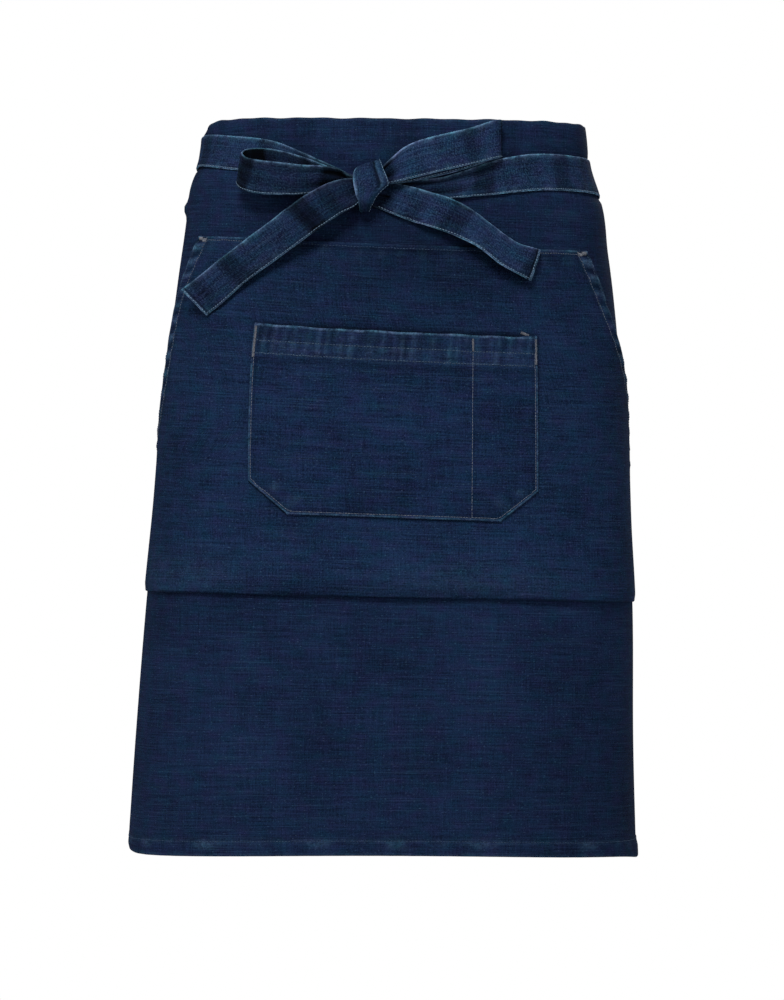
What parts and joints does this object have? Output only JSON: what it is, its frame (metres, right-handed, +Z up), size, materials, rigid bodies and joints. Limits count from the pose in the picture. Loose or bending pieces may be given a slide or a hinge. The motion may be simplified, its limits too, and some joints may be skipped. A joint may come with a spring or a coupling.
{
  "type": "waist apron",
  "caption": "Half-length denim waist apron in its worn form, with a wide pouch, a patch pocket and ties that wrap the waist and end in a front bow.",
  "frame": {"origin": "middle of the waist opening, level with the ties, 40 mm below the top edge", "axes": "+Z up along the wearer's body, -Y to the front where the bow and pockets are, +X to the right as seen from the front"},
  "size_m": [0.4398, 0.2816, 0.6294],
  "materials": {
    "denim_panel": "indigo slub denim, matt, worn pale along hems and pocket mouth",
    "denim_tie": "indigo slub denim folded into a flat tie, matt, worn pale along its edges",
    "thread": "sewing thread, matt, pale blue-grey to tan"
  },
  "bodies": {
    "root": {"skirt_panel": "denim_panel", "pouch_panel": "denim_panel", "patch_pocket": "denim_panel", "tie_left": "denim_tie", "tie_right": "denim_tie", "bow_loop_left": "denim_tie", "bow_loop_right": "denim_tie", "bow_tail_left": "denim_tie", "bow_tail_right": "denim_tie", "bow_knot": "denim_tie"}
  },
  "joints": []
}
